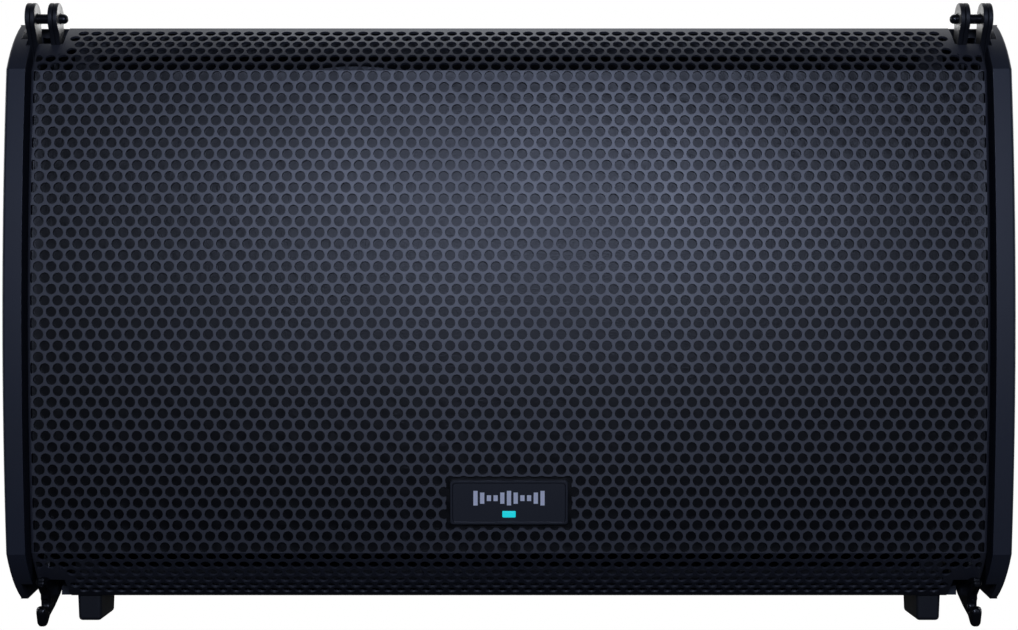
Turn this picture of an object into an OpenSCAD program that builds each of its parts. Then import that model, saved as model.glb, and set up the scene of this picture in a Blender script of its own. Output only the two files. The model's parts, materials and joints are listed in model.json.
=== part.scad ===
/* [Body] */
// Overall width across the two side panels
body_w = 614; // [560:1:740]
// Height of the side panels at the front
body_h = 356.4; // [320:0.2:430]
// Overall depth from the middle of the grille to the rear edge
body_d = 430; // [360:1:520]
// Height of the side panels at the rear
rear_h = 288; // [266:1:310]
// Height of the front feet, which is the gap under the box
foot_h = 16.5; // [13:0.5:24]

/* [Front face] */
// Height of the gently curved middle of the grille
face_h = 294.8; // [250:0.2:350]
// Radius of the gently curved middle
face_r = 1210; // [800:10:2000]
// Depth of the folded band above and below the middle
band_d = 34; // [28:0.5:40]
// Angle through which the band curves
band_turn = 30; // [10:1:40]

/* [Walls] */
// Thickness of the plywood
ply = 15; // [12:1:18]
// How far the plywood lies below the grille's ends
deck_step = 1.2; // [0.5:0.1:3]
// Thickness of the front baffle
baffle_t = 18; // [15:1:21]
// Thickness of the side panels
panel_t = 12; // [9:0.5:16]
// Space between plywood and side panel, which holds the rigging plates
rig_space = 22; // [21.5:0.5:24]
// Thickness of the side panels' turned-in rim
rim_t = 4; // [3:0.5:6]
// Depth of the front of the baffle behind the front of the grille
baffle_at = 62; // [58:1:70]
// Depth of the recess for the rear fittings
rear_recess = 32; // [30:1:40]

/* [Grille] */
// Thickness of the grille sheet
grille_t = 1.5; // [1:0.1:2]
// Gap between the grille and each side panel
grille_gap = 2.7; // [2:0.1:5]
// Depth of the grille's folded side edge
grille_fold = 8; // [6:0.5:10]
// How far the side panels stand proud of the grille
panel_proud = 2.3; // [1:0.1:3]
// Thickness of the foam behind the grille
foam_t = 7; // [4:0.5:8]

/* [Badge] */
// Width of the badge
badge_w = 71.8; // [50:0.2:90]
// Height of the badge
badge_h = 27.2; // [20:0.2:36]
// Height of the middle of the badge above the bottom of the side panels
badge_up = 62.1; // [50:0.1:80]
// Thickness of the badge
badge_t = 5; // [4:0.5:7]
// Gap round the badge in the grille
badge_gap = 2.2; // [1:0.1:3]
// Width of the status light
light_w = 8.1; // [5:0.1:12]
// Height of the status light
light_h = 4; // [2:0.1:6]

/* [Front rigging] */
// Distance of the middle of the fork from the outer face of the side panel
fork_in = 19.5; // [19:0.1:21]
// Gap between the two arms of a fork
fork_gap = 8; // [7.5:0.1:9]
// Thickness of one rigging plate, two of which make an arm
plate_t = 3; // [2.5:0.1:3.5]
// Thickness of the hook plate
hook_t = 6.35; // [5:0.05:7]
// Depth of the rigging pin behind the front of the grille
pin_at = 24; // [20:0.5:28]
// Height of the rigging pin above the top of the side panels
pin_up = 2.9; // [1:0.1:5]
// Radius of the rigging pin
pin_r = 3; // [2.5:0.1:4]
// Radius of an arm's round head
head_r = 9.8; // [8:0.1:11]
// Radius of the hook's seat, with clearance round the pin
seat_r = 3.25; // [2.75:0.05:4.25]
// Height of the hook's seat above the floor
seat_z = 13.2; // [11:0.1:16]
// Depth where the notches for arms and hooks begin
notch_at = 25; // [23:0.5:27]

/* [Rear rigging] */
// Thickness of the splay link
link_t = 10; // [8:0.5:12]
// Radius of the round ends of the splay link
link_r = 12; // [10:0.5:13]
// Radius of the pin that the splay link turns on
pivot_r = 5; // [4:0.5:6]
// Radius of the quick-release pin
quick_r = 4; // [3:0.5:5]
// Height of the link's pivot above the middle of the box
pivot_up = 122; // [110:1:124]
// Depth of the lowest receiver hole below the middle of the box
receiver_down = 119.7; // [100:0.1:121]
// Angle between two boxes from one receiver hole to the next
splay_step = 2.5; // [2:0.1:3]
// Thickness of the rear steel plate and its ears
spine_t = 5; // [4:0.5:6]

/* [Woofer] */
// Radius of the woofer's flange
woofer_r = 156; // [125:1:157]
// Sideways place of the woofer, left of the middle
woofer_left = 97; // [90:1:101]
// Travel of the cone each way
cone_travel = 8; // [5:0.5:9]
// Inner radius of the voice coil's former
coil_r = 32; // [25:0.5:38]
// Running gap beside the voice coil
coil_gap = 0.6; // [0.4:0.1:1]
// Radius of a bass port tube
port_r = 20; // [16:0.5:22]

/* [High frequency] */
// Sideways place of the waveguide, right of the middle
horn_right = 163; // [160:1:170]
// Width of the waveguide's flange
horn_w = 170; // [150:1:172]
// Height of the waveguide's flange
horn_h = 288; // [250:1:290]
// Radius of the waveguide's throat
throat_r = 12.7; // [10:0.1:18]
// Radius of the compression driver
driver_r = 60; // [50:1:70]

/* [Rear panels] */
// Width of each rear panel
rear_panel_w = 195; // [180:1:198]
// Height of each rear panel
rear_panel_h = 240; // [220:1:248]
// Thickness of each rear panel
rear_panel_t = 3; // [2:0.5:4]

/* [Feet] */
// Width of a foot at its top
foot_w = 17.5; // [14:0.5:20]
// Length of a front foot
foot_l = 43; // [30:1:60]
// How much a foot tapers on each side
foot_draft = 1.5; // [0.5:0.1:2.5]

/* [Hidden] */
$fn = 72;

// Colours as on the finished box
panel_tint = [0.16, 0.18, 0.23];
grille_tint = [0.36, 0.39, 0.48];
ply_tint = [0.10, 0.10, 0.11];
steel_tint = [0.48, 0.50, 0.54];
dark_tint = [0.09, 0.10, 0.12];
foot_tint = [0.08, 0.10, 0.13];
foam_tint = [0.07, 0.09, 0.14];
zinc_tint = [0.62, 0.63, 0.66];
board_tint = [0.08, 0.30, 0.16];

eps = 0.01;
fit_gap = 0.3;
run_gap = 0.05;
glue_line = 0.02;

// Main levels and planes: depth counts back from the middle of the grille
front_y = -body_d / 2;
mid_z = foot_h + body_h / 2;
top_z = foot_h + body_h;
panel_in = body_w / 2 - panel_t;
side_out = panel_in - rig_space;
side_in = side_out - ply;
back_out = body_d - rear_recess;
back_in = back_out - ply;

// The front outline: a long arc in the middle and a tighter arc in each band
face_sag = face_r - sqrt(face_r * face_r - face_h * face_h / 4);
face_a = asin(face_h / 2 / face_r);
band_h = (body_h - face_h) / 2;
band_end = face_sag + band_d;
band_chord = norm([band_d, band_h]);
band_r = band_chord / 2 / sin(band_turn / 2);
band_a = atan2(band_d, band_h) - band_turn / 2;
band_c = [face_sag + band_r * cos(band_a), face_h / 2 - band_r * sin(band_a)];
face_steps = 16;
band_steps = 6;
face_arc = [for (i = [0 : face_steps]) let (a = face_a * (2 * i / face_steps - 1))
    [face_r - face_r * cos(a), face_r * sin(a)]];
band_arc = [for (i = [1 : band_steps]) let (a = band_a + band_turn * i / band_steps)
    band_c + band_r * [-cos(a), sin(a)]];
lower_arc = [for (i = [band_steps - 1 : -1 : 0]) [band_arc[i][0], -band_arc[i][1]]];
front_path = [for (p = concat(lower_arc, face_arc, band_arc)) [p[0], p[1] + mid_z]];

// Top and bottom slope towards the rear
slope = (body_h - rear_h) / 2 / (body_d - band_end);
function roof(d) = top_z - (d - band_end) * slope;
function keel(d) = foot_h + (d - band_end) * slope;
function deck(d) = roof(d) - deck_step;
function sole(d) = keel(d) + deck_step;
function face_at(z) = face_r - sqrt(face_r * face_r - pow(z - mid_z, 2));
function heading(a, b) = (b - a) / norm(b - a);
function inward(v) = [v[1], -v[0]];
function inset(p, t) = [for (i = [0 : len(p) - 1])
    let (a = inward(i > 0 ? heading(p[i - 1], p[i]) : heading(p[0], p[1])),
        b = inward(i < len(p) - 1 ? heading(p[i], p[i + 1]) : heading(p[i - 1], p[i])),
        n = a + b) p[i] + 2 * t * n / (n * n)];
function back_to_front(p) = [for (i = [len(p) - 1 : -1 : 0]) p[i]];
function ring(c, r, a0, a1, steps) = [for (i = [0 : steps])
    let (a = a0 + (a1 - a0) * i / steps) c + r * [cos(a), sin(a)]];

// A flat outline of depth and height, made solid across the box
module across(x, w) {
    translate([x, front_y, 0])
        rotate([90, 0, 90])
            linear_extrude(w) children();
}
module along_y(x, d, z) {
    translate([x, front_y + d, z]) rotate([-90, 0, 0]) children();
}
module along_x(x, d, z) {
    translate([x, front_y + d, z]) rotate([0, 90, 0]) children();
}
module block(x0, x1, d0, d1, z0, z1) {
    translate([x0, front_y + d0, z0]) cube([x1 - x0, d1 - d0, z1 - z0]);
}
module turned(x, d, z) {
    along_y(x, d, z) rotate_extrude() children();
}
module both() {
    children();
    mirror([1, 0, 0]) children();
}
module outline() {
    polygon(concat(inset(front_path, -panel_proud),
        [[body_d, mid_z + rear_h / 2], [body_d, mid_z - rear_h / 2]]));
}
module slab_2d(d0, d1, wall_in) {
    w = wall_in + glue_line;
    polygon([[d0, sole(d0) + w], [d1, sole(d1) + w], [d1, deck(d1) - w], [d0, deck(d0) - w]]);
}

// Cabinet of painted plywood
cab_front = band_end + 1.2;
spine_slot = 25;
module cabinet_top() {
    color(ply_tint) difference() {
        across(-side_out, 2 * side_out)
            polygon([[cab_front, deck(cab_front) - ply], [body_d, deck(body_d) - ply],
                [body_d, deck(body_d)], [cab_front, deck(cab_front)]]);
        block(-spine_slot, spine_slot, back_out, body_d + 1, mid_z, top_z);
    }
}
module cabinet_bottom() {
    color(ply_tint) difference() {
        across(-side_out, 2 * side_out)
            polygon([[cab_front, sole(cab_front)], [body_d, sole(body_d)],
                [body_d, sole(body_d) + ply], [cab_front, sole(cab_front) + ply]]);
        block(-spine_slot, spine_slot, back_out, body_d + 1, 0, mid_z);
    }
}

// Handle opening and the cup behind it
handle_at = 232;
handle_l = 150;
handle_h = 84;
cup_wall = 3;
cup_deep = 44;
cup_lip = 8;
cup_back = panel_in - cup_deep;
module handle_room(x0, x1, grow) {
    block(x0, x1, handle_at - handle_l / 2 - grow, handle_at + handle_l / 2 + grow,
        mid_z - handle_h / 2 - grow, mid_z + handle_h / 2 + grow);
}
bolt_rows = [mid_z - 110, mid_z - 36, mid_z + 36, mid_z + 110];
bolt_at = 56;
bolt_r = 3;
module rig_bolt_holes(x0, x1, r) {
    for (z = bolt_rows) along_x(x0, bolt_at, z) cylinder(h = x1 - x0, r = r);
}
module cabinet_side() {
    color(ply_tint) difference() {
        across(-side_out, ply) slab_2d(cab_front, back_out, ply);
        handle_room(-side_out - 1, -side_in + 1, cup_wall + fit_gap);
        rig_bolt_holes(-side_out - 1, -side_in + 1, bolt_r);
    }
}
module cabinet_side_left() {
    cabinet_side();
}
module cabinet_side_right() {
    mirror([1, 0, 0]) cabinet_side();
}

// Rear wall with one opening behind each rear panel
rear_panel_x = 52;
well_edge = 10;
module rear_well(x0, w, d0, d1, shrink) {
    block(x0 + shrink, x0 + w - shrink, d0, d1, mid_z - rear_panel_h / 2 + shrink,
        mid_z + rear_panel_h / 2 - shrink);
}
module cabinet_back() {
    color(ply_tint) difference() {
        across(-side_in, 2 * side_in) slab_2d(back_in, back_out, ply);
        both() rear_well(rear_panel_x, rear_panel_w, back_in - 1, back_out + 1, well_edge);
        for (p = spine_screws) along_y(p[0], back_out - spine_bite, p[1])
            cylinder(h = spine_bite + 1, r = spine_screw_r);
    }
}

// Baffle and what is cut through it
horn_wall = 4;
horn_neck = horn_w - 34;
horn_tall = horn_h - 34;
port_l = 140;
port_up = deck(baffle_at + port_l) - mid_z - ply - port_r - 2;
port_out = sqrt(pow(woofer_r + port_r + 4, 2) - port_up * port_up);
port_spots = [for (sx = [-1, 1], sz = [-1, 1]) [sx * port_out - woofer_left, sz * port_up]];
frame_neck = woofer_r - 16;
module baffle() {
    color(ply_tint) difference() {
        across(-side_in, 2 * side_in) slab_2d(baffle_at, baffle_at + baffle_t, ply);
        along_y(-woofer_left, baffle_at - 1, mid_z)
            cylinder(h = baffle_t + 2, r = frame_neck + 1);
        block(horn_right - horn_neck / 2 - 1, horn_right + horn_neck / 2 + 1,
            baffle_at - 1, baffle_at + baffle_t + 1,
            mid_z - horn_tall / 2 - 1, mid_z + horn_tall / 2 + 1);
        for (p = port_spots) along_y(p[0], baffle_at - 1, mid_z + p[1])
            cylinder(h = baffle_t + 2, r = port_r + fit_gap);
        driver_screw_ring(frame_neck + 10, 8) cylinder(h = driver_screw_l, r = driver_screw_r);
        for (p = horn_screws) along_y(p[0], flange_at, p[1])
            cylinder(h = driver_screw_l, r = driver_screw_r);
    }
}

// Side panels: a thick moulded slab with a rim turned in above, below and behind
rim_front = 52;
notch_end = 52;
notch_half = 11.5;
recess_half = 12.5;
fork_x = body_w / 2 - fork_in;
outer_x = fork_x + fork_gap / 2;
inner_x = fork_x - fork_gap / 2 - 2 * plate_t;
module top_notch(x0, x1) {
    block(-x1, -x0, notch_at, notch_end, top_z - 28, top_z + 20);
}
module arm_slot(x0) {
    block(-outer_x - 2 * plate_t - fit_gap, -x0 + fit_gap, notch_at - 5, notch_at + 1,
        top_z - 17, top_z + 20);
}
module low_notch(x0, x1) {
    block(-x1, -x0, notch_at, plate_back + 2, 0, foot_h + 28.5);
}
module side_panel() {
    color(panel_tint) difference() {
        union() {
            across(-body_w / 2, panel_t) outline();
            difference() {
                across(-panel_in, rig_space) outline();
                across(-panel_in - 1, rig_space + 2) rim_hollow();
                block(-panel_in - 1, -side_out + 1, -10, rim_front, 0, top_z + 10);
            }
        }
        handle_room(-body_w / 2 - 1, -panel_in + 1, 0);
        top_notch(panel_in - 1, body_w / 2 - 5);
        low_notch(panel_in - 1, body_w / 2 - 5);
        block(-fork_x - hook_t / 2 - 1, -fork_x + hook_t / 2 + 1, rim_front - 1, plate_back + 2,
            0, foot_h + 28.5);
        arm_slot(panel_in - 1);
        block(-outer_x - 2 * plate_t - fit_gap, -panel_in + 1, 29.5, 76,
            top_z - 330, top_z - 16);
        case_screw_holes();
    }
}
module rim_hollow() {
    polygon([[0, keel(0) + rim_t], [body_d - rim_t, keel(body_d - rim_t) + rim_t],
        [body_d - rim_t, roof(body_d - rim_t) - rim_t], [0, roof(0) - rim_t]]);
}
screw_r = 2.5;
screw_spots = [[100, 120], [100, -120], [250, 105], [250, -105], [385, 100], [385, -100]];
module case_screw_holes() {
    for (p = screw_spots) along_x(-body_w / 2 - 1, p[0], mid_z + p[1])
        cylinder(h = panel_t + 2, r = screw_r + fit_gap);
    for (p = screw_spots) along_x(-body_w / 2 - 1, p[0], mid_z + p[1])
        cylinder(h = 5, r = 5.3);
}
module side_panel_left() {
    side_panel();
}
module side_panel_right() {
    mirror([1, 0, 0]) side_panel();
}

// Posts carry the screws' pull from panel to plywood, and belong to the screw group
module case_screw() {
    cylinder(h = 3, r = 5);
    translate([0, 0, 3 - eps]) cylinder(h = panel_t + rig_space - 4 + eps, r = screw_r);
}
module case_screws() {
    color(zinc_tint) both()
        for (p = screw_spots) along_x(-body_w / 2 + 1, p[0], mid_z + p[1]) case_screw();
}

// Handle cups: open moulded boxes behind the openings
module handle_cup() {
    difference() {
        union() {
            handle_room(-panel_in, -cup_back, cup_wall);
            handle_room(-panel_in, -panel_in + cup_wall, cup_lip);
        }
        handle_room(-panel_in - 1, -cup_back - cup_wall, 0);
    }
}
module handle_cups() {
    color(dark_tint) both() handle_cup();
}

// Feet: drafted blocks under the cabinet's corners
foot_x = side_out;
foot_at = 45;
rear_foot_at = 330;
module foot(at) {
    low = [foot_w - 2 * foot_draft, foot_l - 2 * foot_draft];
    intersection() {
        translate([-foot_x, 0, 0]) across(0, foot_w)
            polygon([[at + foot_draft, 0], [at + foot_l - foot_draft, 0],
                [at + foot_l, sole(at + foot_l)], [at, sole(at)]]);
        translate([-foot_x, front_y + at - 1, 0]) rotate([90, 0, 0])
            mirror([0, 0, 1]) linear_extrude(foot_l + 2)
                polygon([[foot_draft, 0], [foot_w - foot_draft, 0],
                    [foot_w, foot_h * 4], [0, foot_h * 4]]);
    }
}
module front_feet() {
    color(foot_tint) both() foot(foot_at);
}
module rear_feet() {
    color(foot_tint) both() foot(rear_foot_at);
}

// Front rigging: two laminated arms each side, with the hook plate between them below
pin_z = top_z + pin_up;
plate_front = 30;
plate_back = 74;
plate_low = foot_h + 31.5;
flare_r = 18;
neck_back = pin_at + head_r;
flare_c = [neck_back + flare_r, pin_z - 4];
arm_outline = concat([[plate_front, plate_low], [plate_back, plate_low],
    [plate_back, pin_z - 30]], back_to_front(ring(flare_c, flare_r, 180, 270, 6)),
    [[pin_at + head_r * 0.8, pin_z], [pin_at - head_r * 0.8, pin_z - head_r * 0.45],
    [notch_at + 1.5, top_z - 17], [plate_front, top_z - 25]]);
module arm_plate(x, t, low) {
    difference() {
        union() {
            across(-x - t, t) polygon(arm_outline);
            along_x(-x - t, pin_at, pin_z) cylinder(h = t, r = head_r);
        }
        along_x(-x - t - 1, pin_at, pin_z) cylinder(h = t + 2, r = pin_r + run_gap);
        rig_bolt_holes(-x - t - 1, -x + 1, bolt_r + run_gap);
        block(-x - t - 1, -x + 1, 0, 100, -1, low);
    }
}
module rig_outer_left() {
    color(steel_tint) arm_plate(outer_x, plate_t, 0);
}
module rig_outer_right() {
    color(steel_tint) mirror([1, 0, 0]) arm_plate(outer_x, plate_t, 0);
}
module rig_inner_left() {
    color(steel_tint) arm_plate(inner_x + plate_t, plate_t, 0);
}
module rig_inner_right() {
    color(steel_tint) mirror([1, 0, 0]) arm_plate(inner_x + plate_t, plate_t, 0);
}
doubler_low = top_z - 90;
module rig_doublers() {
    color(steel_tint) both() {
        arm_plate(outer_x + plate_t, plate_t, doubler_low);
        arm_plate(inner_x, plate_t, doubler_low);
    }
}

// Hook plate: a throat open to the front, with a guide finger above it
hook_top = foot_h + 135;
seat = [pin_at, seat_z];
hook_outline = concat(
    [[seat[0] + 3, seat_z - 7.8], [seat[0] + 15.5, seat_z - 4.2],
        [seat[0] + 25, seat_z - 0.6], [seat[0] + 31, seat_z + 1.7],
        [seat[0] + 44, seat_z + 10], [plate_back - 2, foot_h + 45],
        [plate_back - 2, hook_top], [plate_front + 2, hook_top],
        [plate_front + 2, foot_h + 30], [seat[0] + 4, seat_z + 17.4]],
    ring([seat[0] - 7.5, seat_z + 15], 2.4, 90, 225, 5),
    [[seat[0] + 1.7, seat_z + 5.2]],
    ring(seat, seat_r, 55, -180, 14),
    ring([seat[0] - 5.3, seat_z - 3.2], 4.2, 120, 215, 5),
    ring([seat[0] - 4, seat_z - 9.2], 3, 215, 290, 4));
module hook_plate() {
    difference() {
        across(-fork_x - hook_t / 2, hook_t) polygon(hook_outline);
        along_x(-fork_x - hook_t, pin_at, seat_z) cylinder(h = 2 * hook_t, r = seat_r);
        rig_bolt_holes(-fork_x - hook_t, -fork_x + hook_t, bolt_r + run_gap);
    }
}
module hook_left() {
    color(dark_tint) hook_plate();
}
module hook_right() {
    color(dark_tint) mirror([1, 0, 0]) hook_plate();
}

// Fork pins run through both arms, with a rounded inner end
pin_inner = fork_x - 15;
module fork_pin() {
    along_x(-outer_x - 2 * plate_t, pin_at, pin_z)
        cylinder(h = outer_x + 2 * plate_t - pin_inner - pin_r, r = pin_r);
    translate([-pin_inner - pin_r, front_y + pin_at, pin_z]) sphere(r = pin_r);
}
module rig_pins() {
    color(zinc_tint) both() fork_pin();
}

// Bolts with spacers hold each plate pair, and each hook between them, to the plywood
module rig_bolt(z, spaced) {
    along_x(-outer_x - plate_t, bolt_at, z)
        cylinder(h = outer_x + plate_t - side_in + 4, r = bolt_r);
    if (spaced) {
        along_x(-outer_x, bolt_at, z) cylinder(h = fork_gap, r = bolt_r + 4);
    }
    spacer_x = z > doubler_low ? inner_x : inner_x + plate_t;
    along_x(-spacer_x, bolt_at, z) cylinder(h = spacer_x - side_out, r = bolt_r + 4);
    along_x(-side_in, bolt_at, z) cylinder(h = 3, r = bolt_r + 3);
}
module rig_bolts() {
    color(zinc_tint) both() {
        for (z = bolt_rows) rig_bolt(z, z > hook_top);
    }
}

// Grille: one folded sheet with side edges, notches and a window for the badge
grille_x = panel_in - grille_gap;
badge_z = foot_h + badge_up;
badge_at = face_at(badge_z);
badge_tilt = asin((mid_z - badge_z) / face_r);
module badge_frame() {
    translate([0, front_y + badge_at, badge_z]) rotate([badge_tilt, 0, 0]) children();
}
module sheet_2d(t0, t1) {
    polygon(concat(inset(front_path, t0), back_to_front(inset(front_path, t1))));
}
module notches(x_top, x_low) {
    both() {
        top_notch(fork_x - x_top, body_w / 2);
        low_notch(fork_x - x_low, body_w / 2);
    }
}
module grille() {
    color(grille_tint) difference() {
        union() {
            across(-grille_x, 2 * grille_x) sheet_2d(0, grille_t);
            both() across(-grille_x, grille_t) sheet_2d(0, grille_fold);
        }
        notches(notch_half, recess_half);
        both() {
            block(-fork_x - hook_t / 2 - 0.5, -fork_x + hook_t / 2 + 0.5,
                notch_at - 5, notch_at + 5, seat_z, seat_z + 18.5);
            arm_slot(inner_x);
        }
        badge_frame() badge_outline(badge_gap, -20, 40);
    }
}

// Foam sheet behind the curved middle of the grille
foam_x = grille_x - 2.5;
face_path = [for (p = face_arc) [p[0], p[1] + mid_z]];
module grille_foam() {
    near = inset(face_path, grille_t + fit_gap);
    far = inset(face_path, grille_t + fit_gap + foam_t);
    color(foam_tint) difference() {
        across(-foam_x, 2 * foam_x) polygon(concat(near, back_to_front(far)));
        badge_frame() badge_outline(badge_gap, -20, 60);
    }
}

// Posts on the baffle that the backed grille is pressed onto
post_r = 6;
post_off = port_r + post_r + 10;
post_up = deck(baffle_at) - mid_z - ply - post_r - 2.5;
slim_r = (deck(baffle_at) - mid_z - ply - 2.5 - horn_h / 2 - 1.8) / 2;
slim_up = horn_h / 2 + 1.8 + slim_r;
post_kinds = [[post_off - port_out - woofer_left, post_up, post_r],
    [post_off + port_out - woofer_left, post_up, post_r], [200, slim_up, slim_r]];
post_spots = [for (p = post_kinds, sz = [-1, 1]) [p[0], mid_z + sz * p[1], p[2]]];
post_at = 31;
module grille_posts() {
    color(dark_tint) for (p = post_spots) along_y(p[0], post_at, p[1])
        cylinder(h = baffle_at - post_at, r = p[2]);
}

// Badge: a rounded plate with a raised rim, tilted with the grille's curve
badge_corner = 2;
module badge_outline(grow, d0, d1) {
    w = badge_w + 2 * grow;
    h = badge_h + 2 * grow;
    r = badge_corner;
    rotate([-90, 0, 0]) translate([0, 0, d0]) {
        linear_extrude(d1 - d0) {
            square([w - 2 * r, h], center = true);
            square([w, h - 2 * r], center = true);
            for (x = [-1, 1], y = [-1, 1])
                translate([x * (w / 2 - r), y * (h / 2 - r)]) circle(r = r);
        }
    }
}
light_down = 7.4;
rim_w = 1.6;
module badge() {
    color(dark_tint) badge_frame() difference() {
        union() {
            badge_outline(0, -1, badge_t);
            for (x = [-1, 1]) translate([x * badge_w / 4, 0, 0]) rotate([-90, 0, 0])
                translate([0, 0, badge_t - eps]) cylinder(h = 12, r = 3);
        }
        badge_outline(-rim_w, -2, 0);
        translate([-light_w / 2, -3, -light_down - light_h / 2])
            cube([light_w, badge_t + 6, light_h]);
    }
}
module badge_light() {
    color([0.13, 0.85, 0.91]) badge_frame()
        translate([-light_w / 2, -0.4, -light_down - light_h / 2])
            cube([light_w, badge_t, light_h]);
}

// Woofer: depth runs back from its flange on the baffle
flange_t = 6;
flange_at = baffle_at - flange_t;
magnet_at = baffle_at + 88;
frame_ring = magnet_at - 3.5;
cone_r = woofer_r - 29;
former_t = 1;
former_r = coil_r + former_t;
cone_deep = 60;
cone_at = flange_at;
cone_rise = cone_deep / (cone_r - 3 - former_r);
function cone_d(r) = cone_at + (cone_r - 3 - r) * cone_rise;
roll_r = (frame_neck - 2 - cone_r + 1) / 2;
roll_c = cone_r - 1 + roll_r;
pad_r = 79.5;
module woofer_frame() {
    color(dark_tint) difference() {
        turned(-woofer_left, 0, mid_z)
            polygon([[frame_neck - 4, flange_at], [woofer_r, flange_at],
                [woofer_r, baffle_at], [frame_neck, baffle_at], [pad_r, magnet_at],
                [former_r + 7, magnet_at], [former_r + 7, frame_ring],
                [pad_r - 2.5, frame_ring], [frame_neck - 4, baffle_at - 1.5]]);
        for (a = [0 : 60 : 300]) translate([-woofer_left, front_y, mid_z])
            rotate([0, a, 0]) translate([60, baffle_at + 24, -22]) cube([100, 48, 44]);
        driver_screw_ring(frame_neck + 10, 8) cylinder(h = 60, r = 2.7, center = true);
    }
}
module driver_screw_ring(r, n) {
    for (i = [0 : n - 1]) let (a = (i + 0.5) * 360 / n)
        along_y(-woofer_left + r * cos(a), flange_at, mid_z + r * sin(a)) children();
}
module woofer_surround() {
    color([0.05, 0.05, 0.05]) turned(-woofer_left, 0, mid_z) {
        translate([roll_c + roll_r - 0.5, flange_at - 1]) square([8, 1]);
        translate([cone_r - 5, flange_at - 1]) square([4.5, 1]);
        intersection() {
            translate([roll_c, flange_at]) difference() {
                circle(r = roll_r + 0.5);
                circle(r = roll_r - 0.5);
            }
            translate([0, flange_at - 20]) square([woofer_r, 20]);
        }
    }
}
module woofer_cone() {
    color([0.12, 0.12, 0.13]) turned(-woofer_left, 0, mid_z)
        polygon([[cone_r - 3, cone_at], [cone_r, cone_at], [cone_r, cone_at + 1],
            [cone_r - 3 + 0.3, cone_at + 1.4], [former_r, cone_d(former_r) + 1.6],
            [former_r, cone_d(former_r)]]);
}
cap_r = former_r + 11;
cap_rise = 16;
cap_ball = (cap_r * cap_r + cap_rise * cap_rise) / 2 / cap_rise;
cap_t = 0.8;
cap_at = cone_d(cap_r) - cap_t - 0.1 - cap_rise;
function cap_d(r) = cap_at + cap_ball - sqrt(cap_ball * cap_ball - r * r);
cap_steps = 10;
module dust_cap() {
    front = [for (i = [0 : cap_steps]) let (r = cap_r * i / cap_steps) [r, cap_d(r)]];
    back = [for (i = [cap_steps : -1 : 0]) let (r = cap_r * i / cap_steps)
        [r, cap_d(r) + cap_t]];
    color([0.10, 0.10, 0.11]) turned(-woofer_left, 0, mid_z) polygon(concat(front, back));
}
spider_at = frame_ring - 3;
spider_out = pad_r - 6;
spider_in = spider_out - 8;
spider_steps = 24;
module woofer_spider() {
    wave = [for (i = [0 : spider_steps]) let (u = i / spider_steps)
        [former_r + (spider_in - former_r) * u,
            spider_at + 1.3 * sin(360 * 4 * u) + 2.3 * pow(u, 6)]];
    color([0.75, 0.62, 0.30]) turned(-woofer_left, 0, mid_z)
        polygon(concat(wave, [[spider_out, frame_ring - 0.6], [spider_out, frame_ring],
            [spider_in, frame_ring]],
            [for (i = [spider_steps - 1 : -1 : 0]) wave[i] + [0, 0.6]]));
}
coil_end = magnet_at + 8 + cone_travel;
top_plate_t = 8;
magnet_t = 22;
gap_r = former_r + former_t + coil_gap;
pole_r = coil_r - coil_gap;
magnet_r = 80;
module voice_coil() {
    color([0.72, 0.42, 0.20]) turned(-woofer_left, 0, mid_z)
        polygon([[coil_r, cone_d(former_r) - 4], [former_r, cone_d(former_r) - 4],
            [former_r, magnet_at - 4], [former_r + former_t, magnet_at - 4],
            [former_r + former_t, coil_end - 2], [former_r, coil_end - 2],
            [former_r, coil_end], [coil_r, coil_end]]);
}
module woofer_top_plate() {
    color(zinc_tint) turned(-woofer_left, 0, mid_z)
        translate([gap_r, magnet_at]) square([magnet_r - 6 - gap_r, top_plate_t]);
}
module woofer_magnet() {
    color([0.16, 0.16, 0.17]) turned(-woofer_left, 0, mid_z)
        translate([gap_r + 12, magnet_at + top_plate_t])
            square([magnet_r - gap_r - 12, magnet_t]);
}
module woofer_back_plate() {
    base_at = magnet_at + top_plate_t + magnet_t;
    vent_r = 12;
    color(zinc_tint) turned(-woofer_left, 0, mid_z)
        polygon([[vent_r, magnet_at + 2], [pole_r, magnet_at + 2], [pole_r, base_at],
            [magnet_r - 4, base_at], [magnet_r - 4, base_at + 8], [vent_r, base_at + 8]]);
}

// Screws of the woofer and the waveguide, all into the baffle
horn_screws = [for (sx = [-1, 1], sz = [-1, 0, 1])
    [horn_right + sx * (horn_w / 2 - 8), mid_z + sz * (horn_h / 2 - 8)]];
driver_screw_r = 2.5;
driver_screw_l = flange_t + 12;
module driver_screw() {
    translate([0, 0, -2.5]) cylinder(h = 2.5, r = 4.5);
    cylinder(h = driver_screw_l, r = driver_screw_r);
}
module driver_screws() {
    color(dark_tint) {
        driver_screw_ring(frame_neck + 10, 8) driver_screw();
        for (p = horn_screws) along_y(p[0], flange_at, p[1]) driver_screw();
    }
}

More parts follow.
